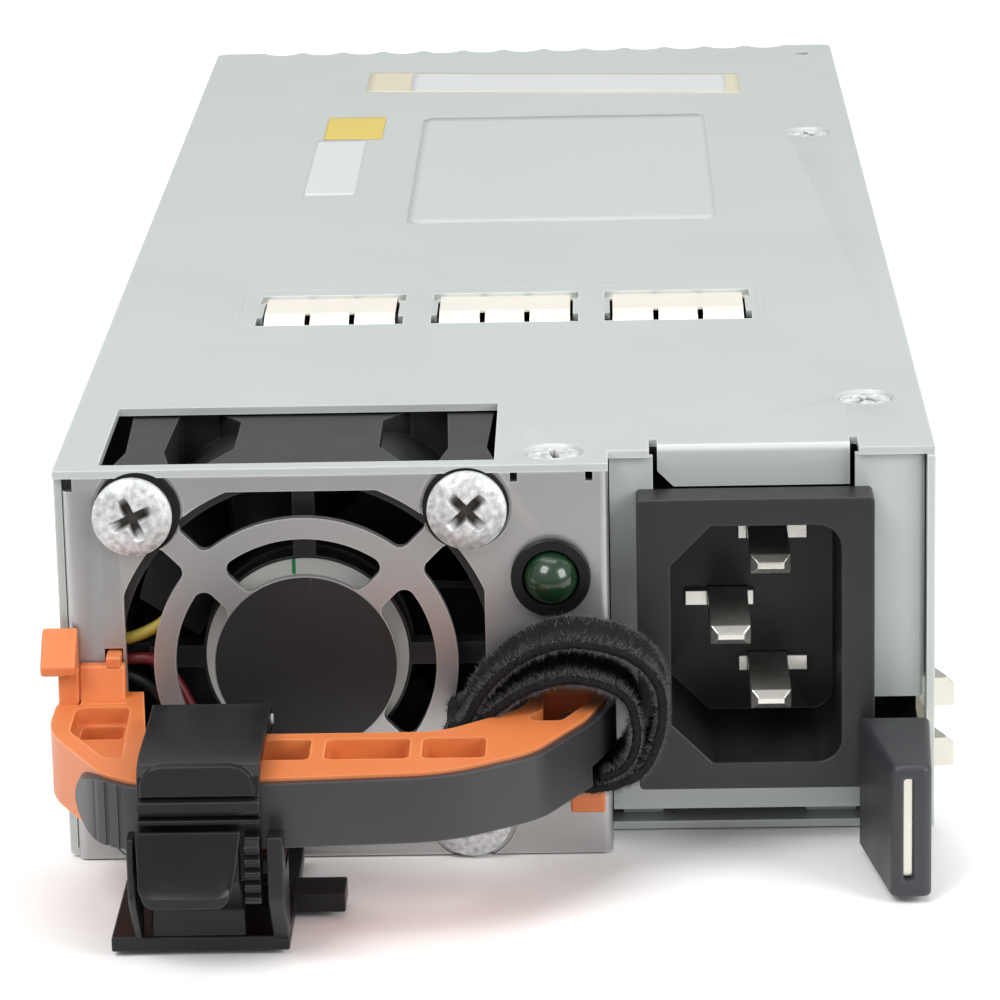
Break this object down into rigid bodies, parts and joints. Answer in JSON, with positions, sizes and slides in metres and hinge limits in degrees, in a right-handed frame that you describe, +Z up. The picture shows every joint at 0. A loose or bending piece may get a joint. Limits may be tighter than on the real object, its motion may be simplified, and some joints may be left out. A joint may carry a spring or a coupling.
{
  "type": "hot swap server power supply",
  "caption": "Low steel boxed power module with a guarded fan, recessed mains inlet, orange pull handle, sprung side latch, cord strap and clamp, and a card edge at the back.",
  "frame": {"origin": "centre of the housing's underside, halfway between the front face and the back wall", "axes": "+X to the right seen from the front, +Y from the front face to the card edge, +Z up"},
  "size_m": [0.0897, 0.2594, 0.0404],
  "materials": {
    "galvanised_steel": "satin zinc plated sheet",
    "bracket_steel": "satin zinc plated sheet",
    "spring_steel": "bright",
    "screw_steel": "zinc plated",
    "copper_foil": "bright fingers",
    "gold_contacts": "gold plated",
    "tin_pins": "nickel plated",
    "aluminium_parts": "matt extruded",
    "orange_plastic": "fine moulded texture",
    "black_plastic": "fine moulded texture",
    "latch_plastic": "fine moulded texture",
    "soft_band": "satin",
    "woven_strap": "fuzzy loop pile",
    "green_lens": "clear green",
    "circuit_board": "solder mask",
    "component_black": "moulded",
    "capacitor_sleeve": "shrink sleeve",
    "ferrite": "matt",
    "winding": "enamelled wire",
    "tape_yellow": "polyester tape",
    "clear_film": "insulating film",
    "paper_label": "printed grey",
    "lead_sleeve": "insulated lead",
    "fan_lead_sleeve": "insulated lead"
  },
  "bodies": {
    "housing": {"bottom_tray": "galvanised_steel", "top_cover": "galvanised_steel", "contact_strip": "copper_foil", "cover_screws": "screw_steel", "clinch_nuts": "screw_steel", "fan_bracket": "bracket_steel", "inlet_bracket": "bracket_steel", "inlet_body": "black_plastic", "earth_pin": "tin_pins", "power_pins": "tin_pins", "light_bezel": "black_plastic", "light_lens": "green_lens", "light_board": "circuit_board", "light_leads": "fan_lead_sleeve", "fan_frame": "black_plastic", "fan_coil": "winding", "fan_bearings": "screw_steel", "fan_label": "paper_label", "guard_sticker": "paper_label", "fan_screws": "screw_steel", "fan_lead_black": "black_plastic", "fan_lead_red": "fan_lead_sleeve", "fan_lead_yellow": "tape_yellow", "fan_plug": "clear_film", "latch_foot": "spring_steel", "latch_rivets": "screw_steel", "pull_handle": "orange_plastic", "handle_screw": "screw_steel", "grip_band": "soft_band", "hook_and_loop_strap": "woven_strap", "main_board": "circuit_board", "edge_contacts": "gold_contacts", "board_standoffs": "screw_steel", "board_screws": "screw_steel", "insulation_film": "clear_film", "fuse": "clear_film", "x_capacitor": "tape_yellow", "filter_choke": "winding", "relay": "component_black", "standby_transformer": "tape_yellow", "storage_capacitor": "capacitor_sleeve", "capacitor_saddle": "clear_film", "boost_choke": "winding", "heat_sinks": "aluminium_parts", "power_transistors": "component_black", "transformer_core": "ferrite", "transformer_winding": "tape_yellow", "output_capacitors": "capacitor_sleeve", "output_choke": "ferrite", "control_board": "circuit_board", "control_chips": "component_black", "mains_leads": "lead_sleeve", "lead_receptacles": "clear_film"},
    "rotor": {"fan_rotor": "component_black"},
    "latch": {"latch_leaf": "spring_steel", "latch_cap": "latch_plastic"},
    "clamp": {"clamp_base": "component_black", "clamp_pin": "screw_steel", "clamp_strap": "component_black"},
    "clamp_release": {"clamp_release": "component_black"}
  },
  "joints": [
    {"name": "fan_spin", "type": "hinge", "parent": "housing", "child": "rotor", "pos_m": [-0.01885, -0.0935, 0.02], "axis": [0, 1, 0], "continuous": true},
    {"name": "latch_press", "type": "hinge", "parent": "housing", "child": "latch", "pos_m": [0.0417, -0.0685, 0.0074], "axis": [0, 0, 1], "range_deg": [-5.5, 0], "stiffness_Nm_per_rad": 3},
    {"name": "clamp_slide", "type": "slide", "parent": "housing", "child": "clamp", "axis": [1, 0, 0], "range_m": [0, 0.007]},
    {"name": "clamp_release_pull", "type": "hinge", "parent": "clamp", "child": "clamp_release", "pos_m": [-0.0273, -0.14, 0.0124], "axis": [-1, 0, 0], "range_deg": [0, 20], "stiffness_Nm_per_rad": 0.05}
  ]
}
